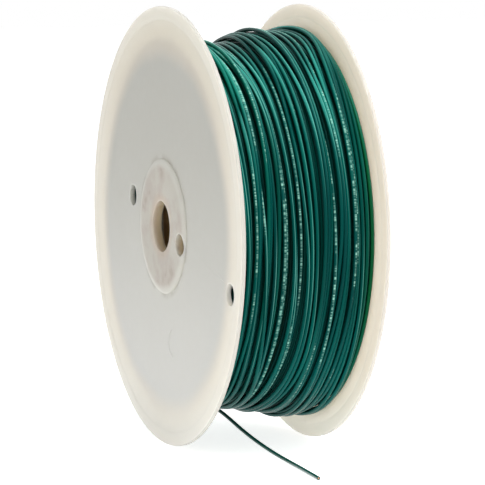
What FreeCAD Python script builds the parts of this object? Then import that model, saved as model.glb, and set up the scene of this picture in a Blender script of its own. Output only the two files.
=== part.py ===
"""A moulded reel of hook-up wire, standing on the rims of its two flanges.

Millimetres. X runs along the reel's axis, from the flange that faces the viewer to the far one, and Z is up.
The origin is on the floor, midway between the flanges and below the axis.
"""
import FreeCAD, Part
import math
import os
from FreeCAD import Vector

# Reel, with its width taken over the rim beads. The web is thicker inside the spigot ring, as the hub's floor.
flange_diameter = 165.1
reel_width = 57.15
web_thickness = 1.3
floor_thickness = 2.7
bore_diameter = 19.05
bore_lead_in = 0.5

# Bead round the rim, proud of the web on both faces, with its outer corner chamfered
bead_width = 5.0
bead_proud = 0.15
rim_chamfer = 0.4

# Hub boss on the outer face, with its drive hole
boss_diameter = 50.8
boss_height = 1.0
boss_draft = 0.4
drive_hole_diameter = 8.4
drive_hole_radius = 20.5

# Wire holes, in line with the drive hole across the hub
hole_line_angle = 13.6
start_hole_diameter = 8.0
start_hole_clearance = 0.2
finish_hole_diameter = 8.0
finish_hole_inset = 10.55

# Mark that the mould's ejector pin leaves
ejector_mark_diameter = 10.5
ejector_mark_depth = 0.15
ejector_mark_radius = 44.2
ejector_mark_angle = -104.0

# Barrel tube and the spigot ring that it fits over
barrel_diameter = 63.5
barrel_wall = 3.2
barrel_end_gap = 0.05
spigot_clearance = 0.15
spigot_wall = 2.2
spigot_length = 8.0

# Wire
wire_diameter = 1.4
conductor_diameter = 0.61
conductor_clearance = 0.03
conductor_depth = 2.5

# Winding: outer radius at the near flange, where the last layers stop short, and over the full layers
low_radius = 70.0
crown_radius = 73.6
step_start = -4.0
step_end = 7.0
winding_side_gap = 0.3
layer_gap = 0.3
core_tube_gap = 0.2

# Turns of the outer layer, and the last turn, which crosses back over the low side
regular_turns = 11
turn_unevenness = 0.16
unevenness_rate = 2.4
crossing_reach = 19.65
crossing_delay = 0.12
crossing_lift = 0.5
lift_share = 0.25
leave_angle = -83.5
dive_bend_radius = 8.0
dive_turn = 32.0
dive_clearance = 0.25
dive_end_gap = 0.05

# Free end of the wire. It first runs on from the last turn, and then through these points.
tail_first_run = 8.0
tail_points = [
    (-4.7, -8.0, 8.95),
    (-3.75, -17.0, 6.65),
    (-2.7, -27.0, 4.55),
    (-1.5, -37.0, 2.8),
    (-0.45, -47.0, 1.5),
    (0.15, -57.0, 0.86),
    (-0.15, -68.0, 0.76),
    (-0.75, -78.0, 0.75),
    (-1.35, -87.5, 0.76),
]

# Share of the shorter run at each corner of the route that its arc takes up
bend_share = 0.45

# Corners of the wire's section, few enough to keep the winding light
turn_corners = 3
tail_sides = 6

# How far a cutting cylinder reaches past the face that it cuts
cut_overrun = 1.0

flange_radius = flange_diameter / 2
finish_hole_radius = flange_radius - finish_hole_inset
axis_height = flange_radius
web_outer_face = reel_width / 2 - bead_proud
inner_width = 2 * (web_outer_face - web_thickness)
barrel_radius = barrel_diameter / 2
wire_radius = wire_diameter / 2
low_side = -inner_width / 2 + winding_side_gap
high_side = inner_width / 2 - winding_side_gap


def revolved(profile):
    """A solid of revolution about X. The profile lists (x, radius) corners."""
    corners = [Vector(x, radius, 0) for x, radius in profile]
    face = Part.Face(Part.makePolygon(corners + [corners[0]]))
    return face.revolve(Vector(0, 0, 0), Vector(1, 0, 0), 360)


def across(diameter, radius, angle, start, length):
    """A cylinder along X whose centre lies at a radius and an angle from the reel's axis."""
    y = radius * math.cos(math.radians(angle))
    z = radius * math.sin(math.radians(angle))
    return Part.makeCylinder(diameter / 2, length, Vector(start, y, z), Vector(1, 0, 0))


def flange():
    """One flange about the X axis, with its web's outer face at x = 0 and its inner face at x = web_thickness."""
    bore_radius = bore_diameter / 2
    boss_radius = boss_diameter / 2
    bead_inner = flange_radius - bead_width
    bead_front = -bead_proud
    bead_back = web_thickness + bead_proud
    spigot_radius = barrel_radius - barrel_wall - spigot_clearance
    spigot_end = web_thickness + spigot_length
    profile = [
        (-boss_height, bore_radius + bore_lead_in),
        (-boss_height, boss_radius - boss_draft),
        (0, boss_radius),
        (0, bead_inner),
        (bead_front, bead_inner + bead_proud),
        (bead_front, flange_radius - rim_chamfer),
        (bead_front + rim_chamfer, flange_radius),
        (bead_back, flange_radius),
        (bead_back, bead_inner + bead_proud),
        (web_thickness, bead_inner),
        (web_thickness, spigot_radius),
        (spigot_end, spigot_radius),
        (spigot_end, spigot_radius - spigot_wall),
        (floor_thickness, spigot_radius - spigot_wall),
        (floor_thickness, bore_radius),
        (-boss_height + bore_lead_in, bore_radius),
    ]
    body = revolved(profile)
    web_cut = web_thickness + 2 * cut_overrun
    hub_cut = boss_height + floor_thickness + 2 * cut_overrun
    start_hole_radius = barrel_radius + start_hole_clearance + start_hole_diameter / 2
    opposite = hole_line_angle + 180
    drive_start = -boss_height - cut_overrun
    body = body.cut(across(drive_hole_diameter, drive_hole_radius, opposite, drive_start, hub_cut))
    body = body.cut(across(start_hole_diameter, start_hole_radius, hole_line_angle, -cut_overrun, web_cut))
    body = body.cut(across(finish_hole_diameter, finish_hole_radius, opposite, -cut_overrun, web_cut))
    mark_cut = cut_overrun + ejector_mark_depth
    return body.cut(across(ejector_mark_diameter, ejector_mark_radius, ejector_mark_angle, -cut_overrun, mark_cut))


def near_flange():
    """The flange on the viewer's side, in its place."""
    body = flange()
    body.translate(Vector(-web_outer_face, 0, axis_height))
    return body


def far_flange():
    """The same moulding turned half round the vertical."""
    body = flange()
    body.rotate(Vector(0, 0, 0), Vector(0, 0, 1), 180)
    body.translate(Vector(web_outer_face, 0, axis_height))
    return body


def barrel_tube():
    """The fibre tube between the flanges, over their spigot rings."""
    half = inner_width / 2 - barrel_end_gap
    inner = barrel_radius - barrel_wall
    body = revolved([(-half, inner), (-half, barrel_radius), (half, barrel_radius), (half, inner)])
    body.translate(Vector(0, 0, axis_height))
    return body


def ease(share):
    """A smooth rise from 0 to 1."""
    share = min(1.0, max(0.0, share))
    return share * share * (3 - 2 * share)


def winding_radius(x):
    """The outer radius of the winding along the reel."""
    share = (x - step_start) / (step_end - step_start)
    return low_radius + (crown_radius - low_radius) * min(1.0, max(0.0, share))


def turn_place(turn):
    """Where the centre of the wire lies after a number of turns: along the reel, and out from the axis."""
    first = high_side - wire_radius
    last = low_side + wire_radius
    if turn <= regular_turns:
        pitch = (first - last) / regular_turns
        wander = turn_unevenness * math.sin(math.pi * turn / regular_turns) * math.sin(unevenness_rate * turn)
        x = first - pitch * (turn + wander)
        return x, winding_radius(x) - wire_radius
    share = turn - regular_turns
    crossed = max(0.0, (share - crossing_delay) / (1 - crossing_delay))
    lift = (wire_diameter + crossing_lift) * ease(share / lift_share)
    return last + crossing_reach * crossed * crossed, low_radius - wire_radius + lift


def wire_point(turn):
    """The centre of the wound wire after a number of turns."""
    x, radius = turn_place(turn)
    angle = math.radians(leave_angle - 360 * (turn - regular_turns - 1))
    return Vector(x, radius * math.cos(angle), axis_height + radius * math.sin(angle))


def wire_direction(turn):
    """The way that the wound wire runs after a number of turns."""
    small_step = 0.001
    low = max(0.0, turn - small_step)
    high = min(regular_turns + 1.0, turn + small_step)
    return (wire_point(high) - wire_point(low)).normalize()


def arc_edge(start, corner, end):
    """The arc from start to end that is tangent to the two lines which meet at the corner."""
    first = (start - corner).normalize()
    second = (end - corner).normalize()
    half = first.getAngle(second) / 2
    reach = (start - corner).Length
    bisector = (first + second).normalize()
    middle = corner + bisector * (reach / math.cos(half) - reach * math.tan(half))
    return Part.Arc(start, middle, end).toShape()


def biarc(start, start_way, end, end_way):
    """Two arcs that join two points and keep the direction at each."""
    span = end - start
    ways = start_way + end_way
    square = 2 * (1 - start_way.dot(end_way))
    linear = 2 * span.dot(ways)
    reach = (-linear + math.sqrt(linear * linear + 4 * square * span.dot(span))) / (2 * square)
    first = start + start_way * reach
    second = end - end_way * reach
    joint = (first + second) * 0.5
    return [arc_edge(start, first, joint), arc_edge(joint, second, end)]


def outward_at(point, way):
    """The direction away from the reel's axis, square to the way that the wire runs."""
    outward = Vector(0, point.y, point.z - axis_height)
    return (outward - way * outward.dot(way)).normalize()


def dive_path(run):
    """The wire's hidden start: a straight run that ends square in the core, then a bend up to the first turn."""
    top = wire_point(0)
    way = wire_direction(0)
    outward = outward_at(top, way)
    turn = math.radians(dive_turn)
    centre = top - outward * dive_bend_radius
    middle = centre + outward * dive_bend_radius * math.cos(turn / 2) - way * dive_bend_radius * math.sin(turn / 2)
    low = centre + outward * dive_bend_radius * math.cos(turn) - way * dive_bend_radius * math.sin(turn)
    back = way * math.cos(turn) + outward * math.sin(turn)
    return [Part.makeLine(low - back * run, low), Part.Arc(low, middle, top).toShape()]


def swept(edges, diameter, corners):
    """A tube along joined edges. Its section is a circle, or a polygon in that circle with a corner outwards."""
    path = Part.Wire(edges)
    start = edges[0].valueAt(edges[0].FirstParameter)
    way = edges[0].tangentAt(edges[0].FirstParameter)
    if corners == 0:
        section = Part.Wire([Part.makeCircle(diameter / 2, start, way)])
        return path.makePipeShell([section], True, False)
    up = outward_at(start, way)
    side = way.cross(up)
    points = []
    for number in range(corners):
        angle = 2 * math.pi * number / corners
        points.append(start + (up * math.cos(angle) + side * math.sin(angle)) * (diameter / 2))
    section = Part.makePolygon(points + [points[0]])
    return path.makePipeShell([section], True, False)


def turns_path():
    """The centre line of the turns that show, in two arcs for each quarter of a turn."""
    edges = []
    for number in range(4 * (regular_turns + 1)):
        start = number / 4
        end = (number + 1) / 4
        edges += biarc(wire_point(start), wire_direction(start), wire_point(end), wire_direction(end))
    return edges


def outer_winding():
    """The turns that show, as one tube, from its start in the core to where the free end leaves."""
    return swept(dive_path(wire_diameter) + turns_path(), wire_diameter, turn_corners)


def winding_core():
    """The inner layers as one ring round the barrel tube, with the hole that the outer layer comes out of."""
    marks = [low_side, step_start, step_end, high_side]
    depth = wire_diameter + layer_gap
    profile = [(x, winding_radius(x) - depth) for x in marks]
    inner = barrel_radius + core_tube_gap
    body = revolved([(low_side, inner)] + profile + [(high_side, inner)])
    body.translate(Vector(0, 0, axis_height))
    hole = swept(dive_path(wire_diameter + dive_end_gap), wire_diameter + 2 * dive_clearance, 0)
    return body.cut(hole)


def tail_corners():
    """The free end's route: it starts where the last turn stops and first runs the way that the turn does."""
    start = wire_point(regular_turns + 1)
    onward = start + wire_direction(regular_turns + 1) * tail_first_run
    return [start, onward] + [Vector(*point) for point in tail_points]


def tail_path():
    """Straight runs joined by tangent arcs, each as large as its two runs allow. Prints the least radius."""
    corners = tail_corners()
    edges = []
    start = corners[0]
    radii = []
    for before, corner, after in zip(corners, corners[1:], corners[2:]):
        shorter = min((corner - before).Length, (after - corner).Length)
        reach = bend_share * shorter
        into = (corner - before).normalize()
        out = (after - corner).normalize()
        half = into.getAngle(out) / 2
        radii.append(reach / math.tan(half))
        arc_start = corner - into * reach
        arc_end = corner + out * reach
        edges.append(Part.LineSegment(start, arc_start).toShape())
        edges.append(arc_edge(arc_start, corner, arc_end))
        start = arc_end
    edges.append(Part.LineSegment(start, corners[-1]).toShape())
    length = sum(edge.Length for edge in edges)
    print("tail: length %.1f mm, least radius %.1f mm, radii %s" % (length, min(radii), [round(r) for r in radii]))
    return edges


def tail_end():
    """The free end's last point and the way that it points."""
    corners = tail_corners()
    return corners[-1], (corners[-1] - corners[-2]).normalize()


def wire_tail():
    """The free end's insulation, with the hollow that its cut end shows."""
    edges = tail_path()
    body = swept(edges, wire_diameter, tail_sides)
    length = sum(edge.Length for edge in edges)
    area = 0.5 * tail_sides * wire_radius * wire_radius * math.sin(2 * math.pi / tail_sides)
    print("tail: volume %.2f, section times length %.2f" % (body.Volume, area * length))
    end, way = tail_end()
    hollow_radius = conductor_diameter / 2 + conductor_clearance
    return body.cut(Part.makeCylinder(hollow_radius, conductor_depth, end - way * conductor_depth, way))


def conductor():
    """The copper conductor in the cut end, flush with the insulation."""
    end, way = tail_end()
    depth = conductor_depth - conductor_clearance
    return Part.makeCylinder(conductor_diameter / 2, depth, end - way * depth, way)


def print_least_gap():
    """Prints the least gap between turns of the outer layer, measured on points along its centre line."""
    per_arc = 12
    arcs_in_half_turn = 4
    points = []
    for edge in turns_path():
        points += edge.discretize(Number=per_arc + 1)[:-1]
    least = min(
        (points[number] - other).Length
        for number in range(len(points))
        for other in points[number + per_arc * arcs_in_half_turn:]
    )
    print("outer winding: least gap to itself %.2f mm" % (least - wire_diameter))


def main():
    parts = {
        "near_flange": near_flange(),
        "far_flange": far_flange(),
        "barrel_tube": barrel_tube(),
        "winding_core": winding_core(),
        "outer_winding": outer_winding(),
        "wire_tail": wire_tail(),
        "conductor": conductor(),
    }
    os.makedirs("parts", exist_ok=True)
    for name, shape in parts.items():
        print(name, shape.isValid(), len(shape.Solids), "volume %.1f" % shape.Volume)
        shape.exportStep("parts/" + name + ".step")
    print_least_gap()


main()
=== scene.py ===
"""The looks of a moulded reel of hook-up wire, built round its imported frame.

Lengths are in metres. +X runs along the arbor towards the far flange, and +Z is up.
"""

import math
import random

import bpy
import numpy as np
from bpy.props import FloatProperty, FloatVectorProperty, IntProperty, PointerProperty
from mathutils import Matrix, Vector


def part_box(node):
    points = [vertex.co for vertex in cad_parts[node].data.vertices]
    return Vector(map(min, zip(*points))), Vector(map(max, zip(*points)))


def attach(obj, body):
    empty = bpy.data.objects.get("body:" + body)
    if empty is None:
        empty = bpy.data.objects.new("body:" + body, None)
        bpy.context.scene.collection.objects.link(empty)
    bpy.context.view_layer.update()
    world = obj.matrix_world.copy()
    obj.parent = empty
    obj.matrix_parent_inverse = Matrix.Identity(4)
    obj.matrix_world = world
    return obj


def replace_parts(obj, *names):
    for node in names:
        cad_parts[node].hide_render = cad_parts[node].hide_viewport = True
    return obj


bl_info = {
    "name": "Wire reel",
    "version": (1, 0, 0),
    "blender": (4, 5, 0),
    "location": "View3D > Sidebar > Wire Reel",
    "description": "Dresses a wound wire reel: flanges, winding, free end and stage",
    "category": "Object",
}

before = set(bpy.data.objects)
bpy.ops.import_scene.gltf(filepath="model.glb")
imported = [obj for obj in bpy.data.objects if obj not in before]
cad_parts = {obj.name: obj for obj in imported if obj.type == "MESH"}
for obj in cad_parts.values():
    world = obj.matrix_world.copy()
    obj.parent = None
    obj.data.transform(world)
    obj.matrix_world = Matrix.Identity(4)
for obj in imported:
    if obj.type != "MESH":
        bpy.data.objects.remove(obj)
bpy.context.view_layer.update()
flange_low, flange_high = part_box("near_flange")
AXIS_HEIGHT = (flange_low.z + flange_high.z) / 2
FLANGE_RADIUS = (flange_high.z - flange_low.z) / 2
BOSS_FACE = -flange_low.x

mm = 0.001


def paint(red, green, blue):
    """A colour written as 0 to 255 on screen, as the linear colour that a material holds."""
    return tuple(
        (part / 255) / 12.92 if part <= 10 else ((part / 255 + 0.055) / 1.055) ** 2.4
        for part in (red, green, blue)
    )


def length(name, default, description):
    """A length that a user can change."""
    return FloatProperty(name=name, description=description, default=default, unit="LENGTH")


def colour(name, default, description):
    """A colour that a user can change."""
    return FloatVectorProperty(name=name, description=description, default=default,
                               subtype="COLOR", size=3, min=0, max=1)


class ReelSizes(bpy.types.PropertyGroup):
    """Sizes of the reel's flanges and holes"""

    web_edge: length("Web thickness at the bead", 1.3 * mm, "Thickness of the web beside the rim's bead")
    web_outer: length("Web thickness at the finish hole", 1.95 * mm,
                      "Thickness of the web beside the edge of the winding")
    web_root: length("Web thickness at the barrel", 2.3 * mm, "Thickness of the web beside the barrel")
    floor_thickness: length("Floor thickness", 2.7 * mm, "Thickness of the web inside the spigot ring")
    bead_width: length("Bead width", 5.0 * mm, "Radial width of the bead round the rim")
    bead_proud: length("Bead height", 0.15 * mm, "How far the bead stands out of the web")
    bead_round: length("Rim rounding", 0.45 * mm, "Radius of the rim's corners")
    boss_diameter: length("Boss diameter", 50.8 * mm, "Diameter of the hub boss")
    boss_round: length("Boss shoulder", 3.4 * mm, "Width of the rounded shoulder round the boss")
    boss_height: length("Boss height", 1.0 * mm, "How far the boss stands out of the web")
    bore_diameter: length("Bore diameter", 19.05 * mm, "Diameter of the arbor bore")
    drive_hole: length("Drive hole", 8.4 * mm, "Diameter of the hole beside the bore")
    drive_radius: length("Drive hole place", 20.5 * mm, "Distance of the drive hole from the axis")
    wire_hole: length("Wire holes", 8.0 * mm, "Diameter of the start and finish holes")
    start_radius: length("Start hole place", 35.95 * mm, "Distance of the start hole from the axis")
    finish_radius: length("Finish hole place", 72.0 * mm, "Distance of the finish hole from the axis")
    hole_line: FloatProperty(name="Hole line", description="Tilt of the line that the holes lie on",
                             default=math.radians(13.6), subtype="ANGLE")
    segments: IntProperty(name="Segments", description="Steps round each flange", default=256, min=32)


class WindingSizes(bpy.types.PropertyGroup):
    """Sizes of the wire and the way it is wound"""

    wire_diameter: length("Wire diameter", 1.4 * mm, "Diameter over the insulation")
    outer_turns: IntProperty(name="Outer turns", description="Turns in the layer that shows",
                             default=36, min=8)
    inner_turns: IntProperty(name="Inner turns", description="Turns in the layer beneath", default=30, min=4)
    wander: length("Wander", 1.0 * mm, "How far a turn strays sideways")
    steps: IntProperty(name="Steps", description="Steps in one turn", default=120, min=24)
    seed: IntProperty(name="Seed", description="Changes the stray of the turns", default=7)


class ReelColours(bpy.types.PropertyGroup):
    """Colours of the reel, the wire and the stage"""

    rim: colour("Flange rim", paint(224, 215, 199), "Plain flange plastic, clear of the wire")
    # Painted light: the far flange's rim is a brighter, warmer copy of the same plastic, for the warm light
    # on it
    rim_far_lit: colour("Far flange rim", paint(240, 219, 199),
                    "The same plastic on the far flange, a little warmer")
    # Painted shade: the grey of the web stands for the light that the wire behind it keeps out
    web: colour("Flange web, high", paint(188, 187, 178), "Flange plastic with wire close behind it")
    # Painted light: the web is paler low down, as if lit from the floor below
    web_lit_low: colour("Flange web, low", paint(221, 220, 212),
                    "The same plastic below the hub, where it is paler")
    boss: colour("Hub boss", paint(182, 173, 163), "Thicker plastic of the hub boss")
    boss_green: colour("Hub boss, greener", paint(190, 186, 175), "The boss where its tone is greener")
    wire: colour("Wire", paint(0, 84, 76), "Insulation of the wire")
    wire_deep: colour("Wire, deeper", paint(0, 60, 57), "Insulation where it is deeper in tone")
    wire_leaf: colour("Wire, yellower", paint(8, 84, 44), "Insulation where it is yellower")
    # Painted highlight: the paler line along the wire stands for the light that each turn catches
    wire_highlight: colour("Wire crest", paint(104, 186, 172), "Paler line along the wire, where it is rubbed")
    fleck: colour("Flecks", paint(154, 216, 198), "Worn pale marks along the wire")
    fibre: colour("Barrel fibre", paint(238, 206, 150), "Fibre tube inside the barrel")
    copper: colour("Copper", paint(214, 146, 110), "Strands of the conductor")
    floor: colour("Floor", paint(247, 247, 247), "Floor and backdrop")


def place(distance, angle):
    """Y and Z of a point at a distance and an angle from the reel's axis. The angle turns from +Y to +Z."""
    return distance * math.cos(angle), AXIS_HEIGHT + distance * math.sin(angle)


def deselect():
    """Nothing stays selected, so that the next operator acts on its own piece alone."""
    for thing in bpy.context.selected_objects:
        thing.select_set(False)


def take(piece):
    """Makes one piece the only selected and active one."""
    deselect()
    piece.select_set(True)
    bpy.context.view_layer.objects.active = piece


def apply_place(piece):
    """Puts the object at the origin, with its place in its mesh."""
    take(piece)
    bpy.ops.object.transform_apply(location=True, rotation=True, scale=True)


def finish_piece(piece, name, material, smooth_angle):
    """Names a finished piece, shades it, gives it its material and lets it ride on the reel."""
    apply_place(piece)
    bpy.ops.object.shade_smooth_by_angle(angle=math.radians(smooth_angle))
    piece.name = name
    piece.data.name = name
    piece.data.materials.clear()
    piece.data.materials.append(material)
    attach(piece, "root")
    return piece


def turned(profile, segments, closed=True, y=0, z=AXIS_HEIGHT):
    """A form turned about an axis along X: a ring, drawn out and scaled through (x, radius) corners."""
    deselect()
    x, radius = profile[0]
    bpy.ops.mesh.primitive_circle_add(vertices=segments, radius=radius, fill_type="NOTHING",
                                      location=(x, y, z), rotation=(0, math.pi / 2, 0), enter_editmode=True)
    for next_x, next_radius in profile[1:] + (profile[:1] if closed else []):
        bpy.ops.mesh.extrude_edges_move(TRANSFORM_OT_translate={"value": (next_x - x, 0, 0)})
        grow = next_radius / radius
        bpy.ops.transform.resize(value=(1, grow, grow), center_override=(next_x, y, z))
        x, radius = next_x, next_radius
    bpy.ops.mesh.select_all(action="SELECT")
    bpy.ops.mesh.remove_doubles(threshold=1e-6)
    if not closed:
        bpy.ops.mesh.fill_holes(sides=0)
    bpy.ops.mesh.normals_make_consistent(inside=False)
    bpy.ops.object.mode_set(mode="OBJECT")
    return bpy.context.active_object


def corner(x, radius, size, start, end, steps=4):
    """Points of a rounded corner about a centre, between two angles. 0 points along +X and 90 outwards."""
    angles = [math.radians(start + (end - start) * step / steps) for step in range(steps + 1)]
    return [(x + size * math.cos(angle), radius + size * math.sin(angle)) for angle in angles]


def drill(piece, diameter, distance, angle, low, high, face=0, edge=0):
    """Cuts a round hole along X. An edge rounds its rim where it opens on a face."""
    y, z = place(distance, angle)
    radius = diameter / 2
    profile = [(low, radius)]
    if edge:
        profile = [(low, radius + edge)] + corner(face + edge, radius + edge, edge, 180, 270)
    cutter = turned(profile + [(high, radius)], segments=64, closed=False, y=y, z=z)
    take(piece)
    cut = piece.modifiers.new("hole", "BOOLEAN")
    cut.operation = "DIFFERENCE"
    cut.solver = "EXACT"
    cut.object = cutter
    bpy.ops.object.modifier_apply(modifier=cut.name)
    bpy.data.objects.remove(cutter)


class NodeMaker:
    """Short ways to add nodes to one node tree and to work with their sockets"""

    def __init__(self, tree):
        self.tree = tree

    def add(self, kind, **settings):
        """A new node with its settings."""
        node = self.tree.nodes.new(kind)
        for key, value in settings.items():
            setattr(node, key, value)
        return node

    def link(self, source, target):
        """Links two sockets."""
        self.tree.links.new(source, target)

    def feed(self, socket, value):
        """Gives a socket what it takes: another socket, a number or a colour."""
        if isinstance(value, bpy.types.NodeSocket):
            self.link(value, socket)
        elif isinstance(value, (int, float)):
            socket.default_value = value
        else:
            socket.default_value = (*value, 1)

    def calc(self, operation, *values):
        """Arithmetic on sockets and numbers."""
        node = self.add("ShaderNodeMath", operation=operation)
        for socket, value in zip(node.inputs, values):
            self.feed(socket, value)
        return node.outputs[0]

    def plus(self, first, second):
        """The sum of two values."""
        return self.calc("ADD", first, second)

    def minus(self, first, second):
        """The first value less the second."""
        return self.calc("SUBTRACT", first, second)

    def times(self, first, second):
        """The product of two values."""
        return self.calc("MULTIPLY", first, second)

    def distance(self, across, up):
        """How far a point lies from zero, by two of its coordinates."""
        return self.calc("SQRT", self.plus(self.times(across, across), self.times(up, up)))

    def ramp(self, value, low, high):
        """A smooth 0 to 1 as a value goes from low to high."""
        node = self.add("ShaderNodeMapRange", interpolation_type="SMOOTHSTEP", clamp=True)
        node.inputs["From Min"].default_value = low
        node.inputs["From Max"].default_value = high
        self.link(value, node.inputs["Value"])
        return node.outputs["Result"]

    def mix(self, share, first, second):
        """A mix that goes from the first colour to the second as the share goes from 0 to 1."""
        node = self.add("ShaderNodeMix", data_type="RGBA")
        self.feed(node.inputs[0], share)
        self.feed(node.inputs[6], first)
        self.feed(node.inputs[7], second)
        return node.outputs[2]

    def tint(self, base, mask, most, tone):
        """A base under a tone, which covers a share of it, called most, where the mask is 1."""
        return self.mix(self.times(mask, most), base, tone)

    def object_vector(self):
        """Object coordinates."""
        return self.add("ShaderNodeTexCoord").outputs["Object"]

    def axis_vector(self):
        """Object coordinates, with the reel's axis at their zero."""
        coordinates = self.object_vector()
        centre = self.add("ShaderNodeMapping")
        centre.inputs["Location"].default_value = (0, 0, -AXIS_HEIGHT)
        self.link(coordinates, centre.inputs["Vector"])
        return centre.outputs["Vector"]

    def split(self, vector):
        """The X, Y and Z of a vector."""
        node = self.add("ShaderNodeSeparateXYZ")
        self.link(vector, node.inputs[0])
        return node.outputs

    def mottle(self, vector, scale):
        """Soft uneven tone: Value, and Fine, which is much finer."""
        node = self.add("ShaderNodeGroup", node_tree=mottle_group())
        node.inputs["Scale"].default_value = scale
        self.link(vector, node.inputs["Vector"])
        return node.outputs

    def bump(self, shader, height, distance, strength=1.0):
        """Raises a shader's surface by a height, times a distance."""
        node = self.add("ShaderNodeBump")
        node.inputs["Strength"].default_value = strength
        node.inputs["Distance"].default_value = distance
        self.link(height, node.inputs["Height"])
        self.link(node.outputs["Normal"], shader.inputs["Normal"])

    def seen(self):
        """1 for what the camera sees, straight or in a gloss, and 0 for light that falls on things."""
        rays = self.add("ShaderNodeLightPath").outputs
        sent_on = self.calc("MAXIMUM", rays["Is Glossy Ray"], rays["Is Transmission Ray"])
        return self.calc("MAXIMUM", rays["Is Camera Ray"], sent_on)


def mottle_group():
    """Soft uneven tone, as in moulded or extruded plastic: a group used by several materials."""
    found = bpy.data.node_groups.get("Soft mottle")
    if found:
        return found
    group = bpy.data.node_groups.new("Soft mottle", "ShaderNodeTree")
    face = group.interface
    face.new_socket("Vector", in_out="INPUT", socket_type="NodeSocketVector")
    scale = face.new_socket("Scale", in_out="INPUT", socket_type="NodeSocketFloat")
    scale.default_value = 40
    face.new_socket("Value", in_out="OUTPUT", socket_type="NodeSocketFloat")
    face.new_socket("Fine", in_out="OUTPUT", socket_type="NodeSocketFloat")
    nodes = NodeMaker(group)
    inlet = nodes.add("NodeGroupInput").outputs
    outlet = nodes.add("NodeGroupOutput").inputs
    broad = nodes.add("ShaderNodeTexNoise")
    broad.inputs["Detail"].default_value = 3
    fine = nodes.add("ShaderNodeTexNoise")
    fine.inputs["Detail"].default_value = 5
    fineness = 14
    nodes.link(inlet["Vector"], broad.inputs["Vector"])
    nodes.link(inlet["Vector"], fine.inputs["Vector"])
    nodes.link(inlet["Scale"], broad.inputs["Scale"])
    nodes.link(nodes.times(inlet["Scale"], fineness), fine.inputs["Scale"])
    nodes.link(broad.outputs["Fac"], outlet["Value"])
    nodes.link(fine.outputs["Fac"], outlet["Fine"])
    return group


def material_for(name, dress, *settings):
    """The material of a name. Its own function dresses it the first time that it is asked for."""
    material = bpy.data.materials.get(name)
    if not material:
        material = bpy.data.materials.new(name)
        material.use_nodes = True
        tree = material.node_tree
        dress(NodeMaker(tree), tree.nodes["Principled BSDF"], *settings)
    return material


# The radii just outside the walls of the bore and the drive hole, and that hole's place from the axis
BORE_WALL = 9.7 * mm
DRIVE_WALL = 4.3 * mm
DRIVE_ACROSS = 19.93 * mm
DRIVE_DOWN = 4.82 * mm


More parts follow.
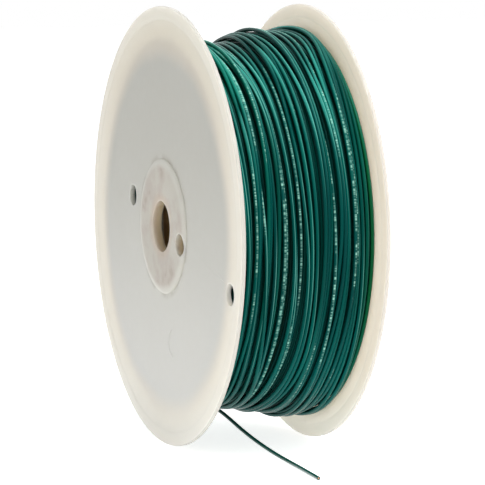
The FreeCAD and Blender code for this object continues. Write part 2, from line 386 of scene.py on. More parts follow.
def flange_plastic(nodes, shader, colours, rim):
    """Pale translucent moulded plastic, greyer with painted shade where the wire lies close behind it, paler
    with painted light low down, and tan with painted shade in the bore.
    """
    vector = nodes.axis_vector()
    at = nodes.split(vector)
    radius = nodes.distance(at["Y"], at["Z"])
    mottle = nodes.mottle(vector, 22)
    blots = nodes.mottle(vector, 150)["Value"]

    # Painted shade: the web is greyer where the winding lies close behind it and keeps light from coming
    # through. The edge of the winding behind the web is uneven and a little off the axis
    uneven = nodes.times(nodes.minus(mottle["Value"], 0.5), 0.08)
    across = nodes.calc("DIVIDE", nodes.plus(at["Y"], 1.0 * mm), 67.5 * mm)
    up = nodes.calc("DIVIDE", nodes.plus(at["Z"], 1.3 * mm), 66.6 * mm)
    off_winding = nodes.ramp(nodes.plus(nodes.distance(across, up), uneven), 0.93, 1.06)
    # Painted light: the web is paler low down, as if lit from the floor below
    web = nodes.mix(nodes.ramp(at["Z"], 40 * mm, -85 * mm), colours.web, colours.web_lit_low)

    # The web is a little tanner beside the bead, at the top most of all
    inside_bead = nodes.ramp(radius, 78.6 * mm, 77.0 * mm)
    high_up = nodes.plus(0.15, nodes.times(nodes.ramp(at["Z"], 0, 66 * mm), 0.65))
    # Painted light: the rim is paler low down, as if lit from the floor below
    under = nodes.ramp(at["Z"], -40 * mm, -80 * mm)
    edge = nodes.mix(under, rim, tuple(min(1, 1.2 * part) for part in rim))
    edge = nodes.mix(nodes.times(inside_bead, high_up), edge, paint(211, 201, 184))

    # Painted shade darkens the web in blotches at the foot of the boss, and darker patches lie on the boss
    foot = nodes.times(nodes.ramp(radius, 28.0 * mm, 25.6 * mm), nodes.ramp(blots, 0.4, 0.6))
    web = nodes.tint(web, foot, 0.45, paint(158, 152, 138))
    boss = nodes.mix(nodes.ramp(blots, 0.38, 0.62), colours.boss, colours.boss_green)
    boss = nodes.tint(boss, nodes.ramp(blots, 0.4, 0.3), 0.5, paint(160, 148, 130))

    # The boss is redder round the bore, and paler at its shoulder with a painted highlight
    boss = nodes.tint(boss, nodes.ramp(radius, 14.0 * mm, 9.8 * mm), 0.6, paint(190, 172, 152))
    boss = nodes.tint(boss, nodes.ramp(radius, 21.4 * mm, 24.2 * mm), 0.7, paint(205, 205, 196))
    off_boss = nodes.ramp(radius, 25.1 * mm, 25.7 * mm)
    tone = nodes.mix(off_winding, nodes.mix(off_boss, boss, web), edge)

    # The rim's outer edge is painted darker, as painted shade, and the whole is a little cloudy
    tone = nodes.tint(tone, nodes.ramp(radius, 82.1 * mm, 82.45 * mm), 0.75, paint(184, 181, 174))
    tone = nodes.tint(tone, mottle["Value"], 0.12, paint(172, 168, 156))

    # The walls of the bore and of the drive hole turn tan with depth: painted shade, warmed by light off the
    # fibre tube. Y is turned round for the far flange
    own_y = nodes.times(at["Y"], nodes.calc("SIGN", nodes.times(at["X"], -1)))
    off_hole = nodes.distance(nodes.plus(own_y, DRIVE_ACROSS), nodes.plus(at["Z"], DRIVE_DOWN))
    nearest = nodes.calc("MINIMUM", radius, nodes.plus(off_hole, BORE_WALL - DRIVE_WALL))
    in_hole = nodes.ramp(nearest, BORE_WALL + 0.3 * mm, BORE_WALL)
    depth = nodes.ramp(nodes.calc("ABSOLUTE", at["X"]), 29.0 * mm, 26.2 * mm)
    tone = nodes.mix(nodes.times(in_hole, depth), tone, paint(206, 190, 158))
    nodes.link(tone, shader.inputs["Base Color"])

    nodes.bump(shader, mottle["Fine"], 0.04 * mm, 0.25)
    nodes.link(nodes.plus(0.36, nodes.times(mottle["Fine"], 0.16)), shader.inputs["Roughness"])
    shader.inputs["Subsurface Weight"].default_value = 1.0
    shader.inputs["Subsurface Radius"].default_value = (1.0, 0.98, 0.95)
    shader.inputs["Subsurface Scale"].default_value = 8 * mm
    shader.inputs["Specular IOR Level"].default_value = 0.35


# The wire where next to no light reaches it
WIRE_SHADE = (0.0, 0.003, 0.0025)


def wire_gloss(shader):
    """The low green highlight of the wire."""
    shader.inputs["Specular IOR Level"].default_value = 0.07
    shader.inputs["Specular Tint"].default_value = (0.4, 1.0, 0.93, 1)


def insulation(nodes, shader, colours, light):
    """Glossy wire insulation with drifting tone, painted light and painted highlights, and pale flecks of
    wear along one side of some turns.

    A light under 1 puts it in the shade of other turns.
    """
    along, side, out, flecked, leafy, broad = (
        nodes.add("ShaderNodeAttribute", attribute_name=name).outputs["Fac"]
        for name in ("along", "side", "out", "flecked", "leafy", "broad")
    )

    def along_noise(scale, detail=1.0, shift=0.0):
        """Noise that changes only along the wire, with its scale in steps per metre."""
        noise = nodes.add("ShaderNodeTexNoise", noise_dimensions="1D")
        noise.inputs["Scale"].default_value = scale
        noise.inputs["Detail"].default_value = detail
        nodes.link(nodes.plus(along, shift), noise.inputs["W"])
        return noise.outputs["Fac"]

    # The tone drifts along the wire, and the first turns are yellower
    base = nodes.mix(nodes.ramp(along_noise(3.5, 2.0, 31.0), 0.3, 0.7), colours.wire_deep, colours.wire)
    drift = nodes.times(nodes.ramp(along_noise(1.3), 0.55, 0.75), 0.15)
    base = nodes.mix(nodes.calc("MAXIMUM", leafy, drift), base, colours.wire_leaf)

    # Painted light: the winding is painted bluer and brighter low down, as if lit from the floor, and paler
    # high up with a painted sheen, brightest on a patch at the top beside the near flange
    at = nodes.split(nodes.axis_vector())
    upper = nodes.ramp(at["Z"], 5 * mm, 68 * mm)
    lower = nodes.ramp(at["Z"], -15 * mm, -70 * mm)
    painted_sheen = nodes.times(nodes.ramp(at["Z"], 44 * mm, 58 * mm), nodes.ramp(at["X"], -9 * mm, -16 * mm))
    base = nodes.tint(base, lower, 0.55, paint(0, 114, 108))
    base = nodes.tint(base, nodes.times(upper, nodes.ramp(out, 0.0, 0.9)), 0.68, paint(62, 176, 160))
    base = nodes.tint(base, painted_sheen, 0.4, paint(36, 166, 142))

    # A painted highlight runs as a paler line along the wire, stronger high up and weaker low down
    off_crest = nodes.calc("ABSOLUTE", nodes.minus(side, 0.38))
    highlit = nodes.times(nodes.ramp(off_crest, 0.3, 0.02), nodes.ramp(out, 0.2, 0.6))
    highlight_share = nodes.plus(0.32, nodes.times(nodes.ramp(along_noise(16, 2.0, 19.0), 0.35, 0.65), 0.5))
    highlight_share = nodes.calc("MINIMUM", nodes.plus(highlight_share, nodes.times(upper, 0.4)), 1.0)
    highlight_share = nodes.times(highlight_share, nodes.minus(1.0, nodes.times(lower, 0.5)))
    base = nodes.mix(nodes.times(highlit, highlight_share), base, colours.wire_highlight)

    # The flecks are short dashes with breaks between them, in a lane that drifts over the wire's outer side
    dashes = nodes.plus(0.08, nodes.times(nodes.ramp(along_noise(1050, 1.0, 11.0), 0.42, 0.58), 0.92))
    breaks = nodes.ramp(along_noise(90, 2.0, 3.0), 0.28, 0.46)
    faded = nodes.plus(0.25, nodes.times(nodes.ramp(along_noise(330, 1.0, 47.0), 0.35, 0.65), 0.75))
    dashes = nodes.times(dashes, nodes.times(breaks, faded))
    lane = nodes.times(nodes.minus(along_noise(5.0, 0.0, 77.0), 0.45), 0.8)
    off_lane = nodes.calc("ABSOLUTE", nodes.minus(side, nodes.times(lane, nodes.minus(1.0, broad))))
    off_lane = nodes.minus(off_lane, nodes.times(broad, 0.4))
    in_lane = nodes.times(nodes.minus(1.0, nodes.ramp(off_lane, 0.26, 0.68)), nodes.ramp(out, 0.1, 0.4))
    mark = nodes.times(nodes.times(flecked, dashes), in_lane)
    base = nodes.tint(base, mark, 0.85, colours.fleck)

    # Little light reaches the turns beside the near flange
    base = nodes.tint(base, nodes.ramp(at["X"], -22.6 * mm, -24.8 * mm), 0.6, WIRE_SHADE)
    nodes.link(nodes.mix(1 - light, base, WIRE_SHADE), shader.inputs["Base Color"])
    nodes.link(nodes.plus(0.2, nodes.times(mark, 0.2)), shader.inputs["Roughness"])
    nodes.bump(shader, along_noise(260, 3.0, 3.0), 0.03 * mm, 0.3)
    wire_gloss(shader)


def inner_wire(nodes, shader, colours):
    """The layers beneath: the same wire, painted darker for the shade that they lie in, with rings of turns
    on the sides that face the flanges and painted shade between them.
    """
    vector = nodes.axis_vector()
    at = nodes.split(vector)
    radius = nodes.distance(at["Y"], at["Z"])
    mottle = nodes.mottle(vector, 60)
    ring_width = 1.3 * mm
    rings = nodes.calc("ABSOLUTE", nodes.calc("SINE", nodes.times(radius, math.pi / ring_width)))
    tone = nodes.mix(nodes.ramp(rings, 0.0, 0.7), paint(0, 20, 18), colours.wire)
    nodes.link(nodes.tint(tone, mottle["Value"], 0.5, paint(4, 52, 38)), shader.inputs["Base Color"])
    nodes.bump(shader, rings, 0.5 * mm)
    shader.inputs["Roughness"].default_value = 0.4
    wire_gloss(shader)


def fibre_board(nodes, shader, colours):
    """Brown fibre of the barrel tube, with its fine spiral wraps."""
    vector = nodes.axis_vector()
    mottle = nodes.mottle(vector, 90)
    wraps = nodes.add("ShaderNodeTexWave", wave_type="BANDS", bands_direction="X")
    wraps.inputs["Scale"].default_value = 60
    wraps.inputs["Distortion"].default_value = 2.5
    nodes.link(vector, wraps.inputs["Vector"])
    tone = nodes.mix(mottle["Value"], colours.fibre, paint(150, 122, 82))
    nodes.link(nodes.tint(tone, wraps.outputs["Fac"], 0.3, paint(60, 42, 26)), shader.inputs["Base Color"])
    nodes.bump(shader, mottle["Fine"], 0.1 * mm)
    shader.inputs["Roughness"].default_value = 0.8


def bare_copper(nodes, shader, colours):
    """Bright drawn copper with a little tarnish."""
    mottle = nodes.mottle(nodes.object_vector(), 900)
    tone = nodes.tint(colours.copper, mottle["Value"], 0.5, paint(150, 92, 66))
    nodes.link(tone, shader.inputs["Base Color"])
    nodes.link(nodes.plus(0.2, nodes.times(mottle["Fine"], 0.2)), shader.inputs["Roughness"])
    shader.inputs["Metallic"].default_value = 1


def free_end_insulation(nodes, shader, colours):
    """The same insulation on the free end, which lies in its own shade."""
    mottle = nodes.mottle(nodes.object_vector(), 60)
    nodes.link(nodes.mix(mottle["Value"], colours.wire, paint(0, 66, 52)), shader.inputs["Base Color"])
    nodes.link(nodes.plus(0.24, nodes.times(mottle["Fine"], 0.12)), shader.inputs["Roughness"])
    shader.inputs["Coat Weight"].default_value = 0.25
    shader.inputs["Coat Roughness"].default_value = 0.2


def flange_profile(sizes):
    """The near flange's section as (x, radius) corners, from the bore out to the rim and back."""
    web_face = sizes.boss_height - BOSS_FACE
    web_back = web_face + sizes.web_edge
    floor_back = web_face + sizes.floor_thickness
    boss_radius = sizes.boss_diameter / 2
    boss_foot = boss_radius + 0.3 * mm
    bore_radius = sizes.bore_diameter / 2
    bore_ease = 0.35 * mm
    shoulder_steps = 8
    profile = [(floor_back, bore_radius)]
    profile += corner(bore_ease - BOSS_FACE, bore_radius + bore_ease, bore_ease, 270, 180, 5)
    for step in range(shoulder_steps + 1):
        lean = math.radians(90 * step / shoulder_steps)
        drop = sizes.boss_height * (1 - math.cos(lean))
        profile.append((drop - BOSS_FACE, boss_radius - sizes.boss_round * (1 - math.sin(lean))))

    # The bead rises out of the web in a soft step on both sides
    bead_front = web_face - sizes.bead_proud
    bead_back = web_back + sizes.bead_proud
    bead_inner = FLANGE_RADIUS - sizes.bead_width
    flat = bead_inner - 0.9 * mm
    foot = bead_inner - 0.5 * mm
    rise = bead_inner - 0.1 * mm
    swell = bead_inner + 0.3 * mm
    crest = bead_inner + 0.9 * mm
    rise_step = 0.02 * mm
    swell_step = 0.05 * mm
    rim = sizes.bead_round
    rim_centre = FLANGE_RADIUS - rim
    profile += [(web_face, boss_foot), (web_face, flat), (web_face, foot)]
    profile += [(web_face + rise_step, rise), (bead_front + swell_step, swell), (bead_front, crest)]
    profile += corner(bead_front + rim, rim_centre, rim, 180, 90, 5)
    profile += corner(bead_back - rim, rim_centre, rim, 90, 0, 5)
    profile += [(bead_back, crest), (bead_back - swell_step, swell)]
    profile += [(web_back + rise_step, rise), (web_back, foot)]

    # The web thickens towards the spigot ring, which locates the barrel tube
    taper_end = 73.6 * mm
    spigot_outer = 28.4 * mm
    spigot_inner = spigot_outer - 2.2 * mm
    spigot_end = web_back + 8 * mm
    chamfer_length = 0.8 * mm
    chamfer_depth = 0.6 * mm
    profile += [(web_face + sizes.web_outer, taper_end), (web_face + sizes.web_root, spigot_outer)]
    profile += [(spigot_end - chamfer_length, spigot_outer), (spigot_end, spigot_outer - chamfer_depth)]
    profile += [(spigot_end, spigot_inner), (floor_back, spigot_inner)]
    return profile


def drill_flange(piece, sizes):
    """Drills the drive hole and the two wire holes, and sinks the shallow round mark of the mould."""
    web_face = sizes.boss_height - BOSS_FACE
    low = -BOSS_FACE - 2 * mm
    high = web_face + sizes.floor_thickness + 1 * mm
    line = sizes.hole_line
    hole_edge = 0.25 * mm
    holes = (
        (sizes.drive_hole, sizes.drive_radius, line + math.pi, -BOSS_FACE),
        (sizes.wire_hole, sizes.start_radius, line, web_face),
        (sizes.wire_hole, sizes.finish_radius, line + math.pi, web_face),
    )
    for diameter, distance, angle, face in holes:
        drill(piece, diameter, distance, angle, low, high, face, hole_edge)
    mark_diameter = 10.5 * mm
    mark_distance = 44.2 * mm
    mark_angle = math.radians(-104)
    mark_depth = 0.15 * mm
    drill(piece, mark_diameter, mark_distance, mark_angle, low, web_face + mark_depth)


class REEL_OT_flanges(bpy.types.Operator):
    """Turns one flange, drills it and copies it to the far side"""

    bl_idname = "reel.flanges"
    bl_label = "Flanges"

    def execute(self, context):
        sizes = context.scene.reel_sizes
        colours = context.scene.reel_colours
        piece = turned(flange_profile(sizes), sizes.segments)
        apply_place(piece)
        drill_flange(piece, sizes)
        take(piece)
        bpy.ops.object.duplicate()
        far = context.active_object
        far.rotation_euler.z = math.pi
        near_plastic = material_for("Flange plastic", flange_plastic, colours, colours.rim)
        # The far flange's copy of the plastic carries painted light on its rim
        far_plastic = material_for("Flange plastic, warmer", flange_plastic, colours, colours.rim_far_lit)
        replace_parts(finish_piece(piece, "near_flange_moulding", near_plastic, 20), "near_flange")
        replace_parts(finish_piece(far, "far_flange_moulding", far_plastic, 20), "far_flange")
        return {"FINISHED"}


# The winding's outer radius at places along the reel, in millimetres: low beside the near flange, full beyond
WINDING_SHAPE = (
    (-27, 69.6), (-12, 69.3), (-5, 69.4), (-1, 70.1), (2, 71.5),
    (7, 73.2), (14, 73.8), (22, 73.8), (27, 73.8),
)

# Half the winding's length: it ends where the inner faces of the webs stand at its edge
WINDING_END = BOSS_FACE - 2.95 * mm

# How far the layers lie beneath the winding's outer radius, and how high turns pile up where they cross
OUTER_DEPTH = 1.0 * mm
BENEATH_DEPTH = 2.35 * mm
CORE_DEPTH = 2.6 * mm
PILE_HEIGHT = 1.6 * mm

# Where the wire leaves the winding: its place along the reel, its distance from the axis and its angle
LEAVE_X = -6.48 * mm
LEAVE_REACH = 71.2 * mm
LEAVE_ANGLE = -83.5

# Where bundles of turns lean sideways as they come over the top and under the bottom of the reel:
# the place along the reel, the width of the bundle and its lean, in millimetres
LEAN_HIGH = ((17, 5, 5.0), (-7, 5, -4.0))
LEAN_LOW = ((16, 7, 2.0), (2, 5, -1.5), (-18, 7, 4.5))

# Turns that cross their neighbours where it shows: the turn's number and how far it goes, in millimetres
CROSSING = ((27, 9.0), (24, 2.5), (18, -2.0), (10, 3.0))

# Turns that carry worn pale flecks: the turn's number and the angles between which they show
FLECKED = (
    (28, 97, 146), (21, 97, 250), (22, 150, 236), (18, 98, 196), (18, 205, 226), (15, 97, 160),
    (10, 112, 214), (5, 104, 224), (4, 125, 180), (30, 150, 226), (27, 140, 172), (12, 205, 236),
    (26, 108, 150), (24, 97, 132), (8, 98, 150), (19, 196, 240),
)

# Where those marks are as broad as the wire
BROAD = ((21, 160, 240), (22, 150, 236), (5, 130, 172), (4, 125, 180), (10, 126, 150), (28, 104, 140),
         (21, 100, 118), (18, 106, 124), (15, 104, 120))


def winding_radius(x):
    """Outer radius of the winding at a place along the reel."""
    places, radii = np.array(WINDING_SHAPE).T * mm
    return np.interp(x, places, radii)


def bell(value, centre, width):
    """1 at the centre, falling to nothing a few widths away."""
    return np.exp(-((value - centre) / width) ** 2)


def eased(share):
    """A share from 0 to 1 that starts and ends gently."""
    return share * share * (3 - 2 * share)


def stray(count, knots, seed):
    """Smooth random values from -1 to 1, one for each step along the wire."""
    source = random.Random(seed)
    marks = np.array([source.uniform(-1, 1) for _ in range(knots + 3)])
    where = np.linspace(0, knots, count)
    first = np.minimum(where.astype(int), knots - 1)
    share = eased(where - first)
    return marks[first] * (1 - share) + marks[first + 1] * share


def soften(values, width):
    """Rounds the corners of a run of values, with a bell of a width in steps."""
    reach = int(3 * width)
    weights = np.exp(-0.5 * (np.arange(-reach, reach + 1) / width) ** 2)
    padded = np.concatenate([np.full(reach, values[0]), values, np.full(reach, values[-1])])
    return np.convolve(padded, weights / weights.sum(), mode="valid")


def lay_turns(turn, around, turns, outermost, wander, seed):
    """Places of the wire along the reel: side by side, with strays, leaning bundles and crossings."""
    source = random.Random(seed)
    most_loose = 0.4 * mm
    tight_turns = 4
    places = []
    for number in range(turns):
        loose = most_loose * min(1, number / tight_turns)
        places.append(outermost * (1 - 2 * number / (turns - 1)) + source.uniform(-loose, loose))
    starts = np.arange(turns)
    x = np.interp(turn, np.stack([starts + 0.05, starts + 0.5], axis=1).ravel(), np.repeat(places, 2))

    # The sideways bend, in millimetres: two slow waves, then the bundles that lean
    spread = x / mm
    angle = np.radians(around)
    bend = 0.7 * np.sin(spread / 5.2 + 2 * angle) + 0.45 * np.sin(spread / 3.1 - 3 * angle)
    over_top = bell(around, centre=100, width=20)
    under_bottom = bell(around, centre=255, width=28)
    for weight, leans in ((over_top, LEAN_HIGH), (under_bottom, LEAN_LOW)):
        for centre, width, lean in leans:
            bend += weight * lean * bell(spread, centre, width)

    # A crossing turn goes over from one side of its place to the other on the side that shows
    share = np.mod(turn, 1)
    for number, reach in CROSSING:
        bend += (turn.astype(int) == number) * reach * np.interp(share, (0, 0.07, 0.48, 1), (0, 0.5, -0.5, 0))

    # Turns stray more at the back. Where they start, beside the far flange, nothing bends them
    hidden = np.interp(share, (0.0, 0.05, 0.52, 0.6, 0.95, 1.0), (0.75, 0.5, 0.5, 1, 1, 0.75))
    bend = bend * mm + hidden * wander * stray(len(turn), knots=turns * 6, seed=seed + 1)
    return x + bend * np.clip((outermost - x) / (4 * mm), 0, 1)


def stacked(x, per_turn, diameter, bed):
    """Distance of each step from the axis, so that a turn climbs over the earlier turns that it crosses."""
    turns = int(math.ceil(len(x) / per_turn))
    look_back = 7
    height = bed.copy()
    for turn in range(1, turns):
        low = turn * per_turn
        high = min(len(x), low + per_turn)
        need = bed[low:high]
        for other in range(max(0, turn - look_back), turn):
            before = slice(low - (turn - other) * per_turn, high - (turn - other) * per_turn)
            gap = np.abs(x[low:high] - x[before])
            climb = np.sqrt(np.maximum(0, diameter ** 2 - gap ** 2))
            need = np.where(gap < diameter, np.maximum(need, height[before] + climb), need)
        height[low:high] = np.minimum(need, bed[low:high] + PILE_HEIGHT)
    widest = np.max([np.roll(height, shift) for shift in range(-2, 3)], axis=0)
    return soften(widest, width=2.5)


def outer_path(sizes):
    """The wire that shows, step by step: its place along the reel, distance from the axis and turn."""
    radius = sizes.wire_diameter / 2
    per_turn = sizes.steps
    turns = sizes.outer_turns
    outermost = WINDING_END - radius
    turn = np.arange(turns * per_turn + 1) / per_turn
    around = np.mod(LEAVE_ANGLE - 360 * turn, 360)
    x = lay_turns(turn, around, turns, outermost, sizes.wander, sizes.seed)
    x = np.clip(soften(x, width=per_turn / 60), -outermost, outermost)
    reach = stacked(x, per_turn, sizes.wire_diameter, winding_radius(x) - radius - OUTER_DEPTH)
    unevenness = 0.12 * mm
    reach += unevenness * stray(len(x), knots=turns * 5, seed=sizes.seed + 2)

    # The last turn rises over the others and crosses back to where the free end leaves
    cross_from = 0.12
    rise_over = 0.25
    share = np.arange(1, per_turn + 1) / per_turn
    crossed = np.maximum(0, (share - cross_from) / (1 - cross_from)) ** 2
    climb = eased(np.clip(share / rise_over, 0, 1))
    x = np.concatenate([x, x[-1] + (LEAVE_X - x[-1]) * crossed])
    reach = np.concatenate([reach, reach[-1] + (LEAVE_REACH - reach[-1]) * climb])
    turn = np.concatenate([turn, turns + share])

    # The first steps come up out of the layer beneath
    start_share = 0.025
    start_depth = 4 * mm
    sunk = np.clip(1 - np.arange(len(turn)) / (start_share * per_turn), 0, 1)
    reach -= start_depth * sunk * sunk
    return x, reach, turn


def marked(turn, around, rows):
    """1 on the stretches that the rows name, fading out over a few degrees at each end."""
    fade = 3
    amount = np.zeros(len(turn))
    for number, low, high in rows:
        inside = np.minimum(around - low, high - around)
        on_turn = (turn >= number) & (turn < number + 1)
        amount = np.where(on_turn, np.maximum(amount, np.clip(inside / fade, 0, 1)), amount)
    return amount


def wound_tube(x, reach, angle, diameter, bevel_steps, extra):
    """A round wire through places along the reel, distances from its axis and angles round it.

    Its mesh knows its length along, its side and its outward face, and the extra values of each step.
    """
    points = np.stack([x, reach * np.cos(angle), AXIS_HEIGHT + reach * np.sin(angle)], axis=1)
    deselect()
    bpy.ops.curve.primitive_nurbs_path_add()
    curve = bpy.context.active_object.data
    curve.splines.clear()
    spline = curve.splines.new("POLY")
    spline.points.add(len(points) - 1)
    flat = np.ones((len(points), 4), np.float32)
    flat[:, :3] = points
    spline.points.foreach_set("co", flat.ravel())
    curve.bevel_depth = diameter / 2
    curve.bevel_resolution = bevel_steps
    curve.use_fill_caps = True
    bpy.ops.object.convert(target="MESH")
    tube = bpy.context.active_object
    mesh = tube.data
    co = np.zeros(len(mesh.vertices) * 3, np.float32)
    mesh.vertices.foreach_get("co", co)
    co = co.reshape(-1, 3).astype(float)
    lengths = np.concatenate([[0], np.cumsum(np.linalg.norm(np.diff(points, axis=0), axis=1))])
    sides = len(co) // len(points)
    numbers = np.minimum(np.arange(len(co)) // sides, len(points) - 1)
    centre = points[numbers]
    off = (co - centre) / (diameter / 2)
    outward = centre * (0, 1, 1) - (0, 0, AXIS_HEIGHT)
    outward /= np.linalg.norm(outward, axis=1)[:, None]
    values = {"along": lengths[numbers], "side": off[:, 0], "out": (off * outward).sum(axis=1)}
    for label, steps in extra.items():
        values[label] = steps[numbers]
    for label, amounts in values.items():
        attribute = mesh.attributes.new(label, "FLOAT", "POINT")
        attribute.data.foreach_set("value", amounts.astype(np.float32))
    return tube


def wind_outer_turns(sizes, colours):
    """The layer that shows, with its flecks. The wire runs from the large angles to the small ones."""
    x, reach, turn = outer_path(sizes)
    angle = LEAVE_ANGLE - 360 * (turn - sizes.outer_turns - 1)
    around = np.mod(angle, 360)

    # Away from the side that shows, some turns are flecked all the way. The first turns are yellower
    flecked_share = 0.3
    source = random.Random(sizes.seed + 9)
    draws = [source.random() < flecked_share for _ in range(sizes.outer_turns + 2)]
    some = np.array(draws)[turn.astype(int)]
    away = (around > 262) | (around < 96)
    values = {
        "flecked": np.where(away & some, 1, marked(turn, around, FLECKED)),
        "leafy": np.clip(1.6 - turn, 0, 1),
        "broad": marked(turn, around, BROAD),
    }
    outer = wound_tube(x, reach, np.radians(angle), sizes.wire_diameter, 4, values)
    finish_piece(outer, "outer_turns", material_for("Wire insulation", insulation, colours, 1.0), 80)
    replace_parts(outer, "outer_winding")


def wind_turns_beneath(sizes, colours):
    """The layer that shows between those turns, in their shade."""
    radius = sizes.wire_diameter / 2
    outermost = WINDING_END - radius
    count = sizes.inner_turns * sizes.steps + 1
    turn = np.arange(count) / sizes.steps
    most_stray = 0.5 * mm
    x = np.linspace(-outermost, outermost, count)
    x += most_stray * stray(count, knots=sizes.inner_turns * 3, seed=sizes.seed + 5)
    x = np.clip(x, -outermost, outermost)
    reach = winding_radius(x) - radius - BENEATH_DEPTH
    beneath = wound_tube(x, reach, -2 * math.pi * turn, sizes.wire_diameter, 2, {"flecked": np.zeros(count)})
    shaded = material_for("Wire insulation, beneath", insulation, colours, 0.42)
    finish_piece(beneath, "turns_beneath", shaded, 80)


def turn_core(sizes, colours):
    """The inner layers, as one turned form round the barrel tube."""
    radius = sizes.wire_diameter / 2
    core_bore = 31.95 * mm
    foot = WINDING_END - 0.9 * mm
    places = [-WINDING_END] + [spot * mm for spot, _ in WINDING_SHAPE[1:-1]] + [WINDING_END]
    profile = [(-foot, core_bore)]
    profile += [(x, float(winding_radius(x)) - radius - CORE_DEPTH) for x in places]
    profile += [(foot, core_bore)]
    core = turned(profile, segments=128)
    finish_piece(core, "inner_layers", material_for("Inner layers", inner_wire, colours), 30)
    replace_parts(core, "winding_core")


class REEL_OT_winding(bpy.types.Operator):
    """Winds the layer that shows and the layer beneath it over a dark core"""

    bl_idname = "reel.winding"
    bl_label = "Winding"

    def execute(self, context):
        sizes = context.scene.winding_sizes
        colours = context.scene.reel_colours
        wind_outer_turns(sizes, colours)
        wind_turns_beneath(sizes, colours)
        turn_core(sizes, colours)
        return {"FINISHED"}


def free_end_route():
    """The free end's points, as in the part's source, in metres."""
    route = [
        (-6.48, 8.06, 11.81),
        (-5.72, 0.15, 10.88),
        (-4.7, -8.0, 8.95),
        (-3.75, -17.0, 6.65),
        (-2.7, -27.0, 4.55),
        (-1.5, -37.0, 2.8),
        (-0.45, -47.0, 1.5),
        (0.15, -57.0, 0.86),
        (-0.15, -68.0, 0.76),
        (-0.75, -78.0, 0.75),
        (-1.35, -87.5, 0.76),
    ]
    return [Vector(point) * mm for point in route]


def lay_tail(route, diameter):
    """The free end as one smooth curve along its route."""
    deselect()
    bpy.ops.curve.primitive_nurbs_path_add()
    tail = bpy.context.active_object
    curve = tail.data
    curve.splines.clear()
    spline = curve.splines.new("NURBS")
    spline.points.add(len(route) - 1)
    for point, place_at in zip(spline.points, route):
        point.co = (*place_at, 1)
    spline.order_u = 3
    spline.use_endpoint_u = True
    curve.dimensions = "3D"
    curve.resolution_u = 12
    curve.bevel_depth = diameter / 2
    curve.bevel_resolution = 6
    curve.use_fill_caps = True
    return tail


def lay_strands(end, way):
    """Seven copper strands in the cut end, one in the middle of six."""
    turned_to = way.to_track_quat("Z", "Y")
    strand = 0.1 * mm
    strand_length = 1.2 * mm
    radii_apart = 2.02
    millimetres_in = 0.58
    spokes = [Vector((0, 0, 0))]
    for number in range(1, 7):
        angle = math.radians(60 * number)
        spokes.append(Vector((math.cos(angle), math.sin(angle), 0)) * strand * radii_apart)
    pieces = []
    for spoke in spokes:
        deselect()
        bpy.ops.mesh.primitive_cylinder_add(vertices=16, radius=strand, depth=strand_length,
                                            location=end + turned_to @ spoke - way * millimetres_in * mm,
                                            rotation=turned_to.to_euler())
        pieces.append(bpy.context.active_object)
    deselect()
    for piece in pieces:
        piece.select_set(True)
    bpy.context.view_layer.objects.active = pieces[0]
    bpy.ops.object.join()
    return bpy.context.active_object


class REEL_OT_free_end(bpy.types.Operator):
    """Lays the wire's free end on the floor, with its cut strands"""

    bl_idname = "reel.free_end"
    bl_label = "Free end"

    def execute(self, context):
        sizes = context.scene.winding_sizes
        colours = context.scene.reel_colours
        route = free_end_route()
        tail = lay_tail(route, sizes.wire_diameter)
        tail.data.materials.append(material_for("Free end insulation", free_end_insulation, colours))
        tail.name = "free_end"
        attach(tail, "root")
        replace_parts(tail, "wire_tail")
        strands = lay_strands(route[-1], (route[-1] - route[-2]).normalized())
        finish_piece(strands, "cut_strands", material_for("Bare copper", bare_copper, colours), 40)
        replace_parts(strands, "conductor")
        return {"FINISHED"}


class REEL_OT_barrel(bpy.types.Operator):
    """Gives the barrel tube its fibre"""

    bl_idname = "reel.barrel"
    bl_label = "Barrel"

    def execute(self, context):
        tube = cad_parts["barrel_tube"]
        tube.data.materials.clear()
        tube.data.materials.append(material_for("Barrel fibre", fibre_board, context.scene.reel_colours))
        return {"FINISHED"}


# The camera's direction and distance from the point that it faces, and the point that the lamps face
CAMERA_AZIMUTH = math.radians(-20.94)
CAMERA_ELEVATION = math.radians(6.52)
CAMERA_DISTANCE = 1.1577
CAMERA_AIM = Vector((0, 0, 0.08255))
LAMP_AIM = Vector((0, 0, 0.08))


def pale_floor(nodes, shader, colours):
    """A matt pale floor that is brightened where it is seen, and keeps the reel's shadow."""
    shader.inputs["Base Color"].default_value = (*colours.floor, 1)
    shader.inputs["Roughness"].default_value = 0.9
    shader.inputs["Specular IOR Level"].default_value = 0.1
    shader.inputs["Emission Color"].default_value = (1, 1, 1, 1)
    nodes.link(nodes.plus(0.3, nodes.times(nodes.seen(), 0.5)), shader.inputs["Emission Strength"])


def studio_world():
    """Plain white surroundings, which are at full strength only where they are seen."""
    world = bpy.data.worlds.new("Studio")
    world.use_nodes = True
    nodes = NodeMaker(world.node_tree)
    background = world.node_tree.nodes["Background"]
    background.inputs["Color"].default_value = (1, 1, 1, 1)
    nodes.link(nodes.plus(0.33, nodes.times(nodes.seen(), 0.67)), background.inputs["Strength"])
    return world


def softbox(name, direction, distance, size, power):
    """A rectangular lamp at a distance in a direction from the reel, turned to it."""
    deselect()
    spot = LAMP_AIM + Vector(direction).normalized() * distance
    bpy.ops.object.light_add(type="AREA", location=spot)
    lamp = bpy.context.active_object
    lamp.name = name
    lamp.data.shape = "RECTANGLE"
    lamp.data.size, lamp.data.size_y = size
    lamp.data.energy = power
    lamp.rotation_euler = (LAMP_AIM - spot).to_track_quat("-Z", "Y").to_euler()


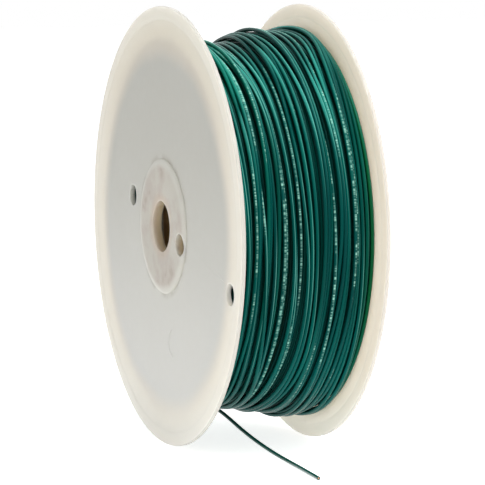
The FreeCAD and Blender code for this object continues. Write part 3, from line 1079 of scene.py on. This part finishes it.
def place_camera():
    """The camera at the photograph's viewing angle."""
    level = math.cos(CAMERA_ELEVATION)
    back = Vector((math.sin(CAMERA_AZIMUTH) * level, -math.cos(CAMERA_AZIMUTH) * level,
                   math.sin(CAMERA_ELEVATION)))
    deselect()
    bpy.ops.object.camera_add(location=CAMERA_AIM + back * CAMERA_DISTANCE)
    camera = bpy.context.active_object
    camera.rotation_mode = "QUATERNION"
    camera.rotation_quaternion = (-back).to_track_quat("-Z", "Y")
    camera.data.sensor_width = 36
    camera.data.lens = 226.8
    camera.data.shift_x = 0.0173
    camera.data.shift_y = -0.0397
    camera.data.clip_start = 0.01
    camera.data.clip_end = 20
    return camera


class REEL_OT_stage(bpy.types.Operator):
    """Sets the floor, the light and the camera"""

    bl_idname = "reel.stage"
    bl_label = "Stage"

    def execute(self, context):
        scene = context.scene
        deselect()
        bpy.ops.mesh.primitive_plane_add(size=6)
        floor = context.active_object
        floor.name = "floor"
        floor.data.materials.append(material_for("Floor", pale_floor, scene.reel_colours))
        scene.world = studio_world()
        softbox("top_light", (0.05, -0.35, 1.0), 1.0, (0.25, 0.7), 8)
        softbox("left_light", (-0.95, -0.65, 0.12), 1.3, (0.9, 0.9), 5)
        softbox("right_light", (0.75, -0.7, 0.3), 1.3, (0.4, 0.9), 2.5)
        softbox("back_light", (1.0, 0.4, 0.3), 1.3, (0.9, 0.9), 5)
        scene.camera = place_camera()
        scene.view_settings.view_transform = "Standard"
        return {"FINISHED"}


class REEL_PT_panel(bpy.types.Panel):
    """Lists the pieces of the reel"""

    bl_label = "Wire reel"
    bl_idname = "REEL_PT_panel"
    bl_space_type = "VIEW_3D"
    bl_region_type = "UI"
    bl_category = "Wire Reel"

    def draw(self, context):
        column = self.layout.column()
        for operator in operators:
            column.operator(operator.bl_idname)
        for group in (context.scene.reel_sizes, context.scene.winding_sizes, context.scene.reel_colours):
            for key in group.__annotations__:
                column.prop(group, key)


operators = (REEL_OT_barrel, REEL_OT_flanges, REEL_OT_winding, REEL_OT_free_end, REEL_OT_stage)
groups = (ReelSizes, WindingSizes, ReelColours)


def register():
    for kind in groups + operators + (REEL_PT_panel,):
        bpy.utils.register_class(kind)
    bpy.types.Scene.reel_sizes = PointerProperty(type=ReelSizes)
    bpy.types.Scene.winding_sizes = PointerProperty(type=WindingSizes)
    bpy.types.Scene.reel_colours = PointerProperty(type=ReelColours)


def unregister():
    del bpy.types.Scene.reel_colours
    del bpy.types.Scene.winding_sizes
    del bpy.types.Scene.reel_sizes
    for kind in reversed(groups + operators + (REEL_PT_panel,)):
        bpy.utils.unregister_class(kind)


def main():
    register()
    bpy.ops.reel.stage()
    bpy.ops.reel.barrel()
    bpy.ops.reel.flanges()
    bpy.ops.reel.winding()
    bpy.ops.reel.free_end()


if __name__ == "__main__":
    main()
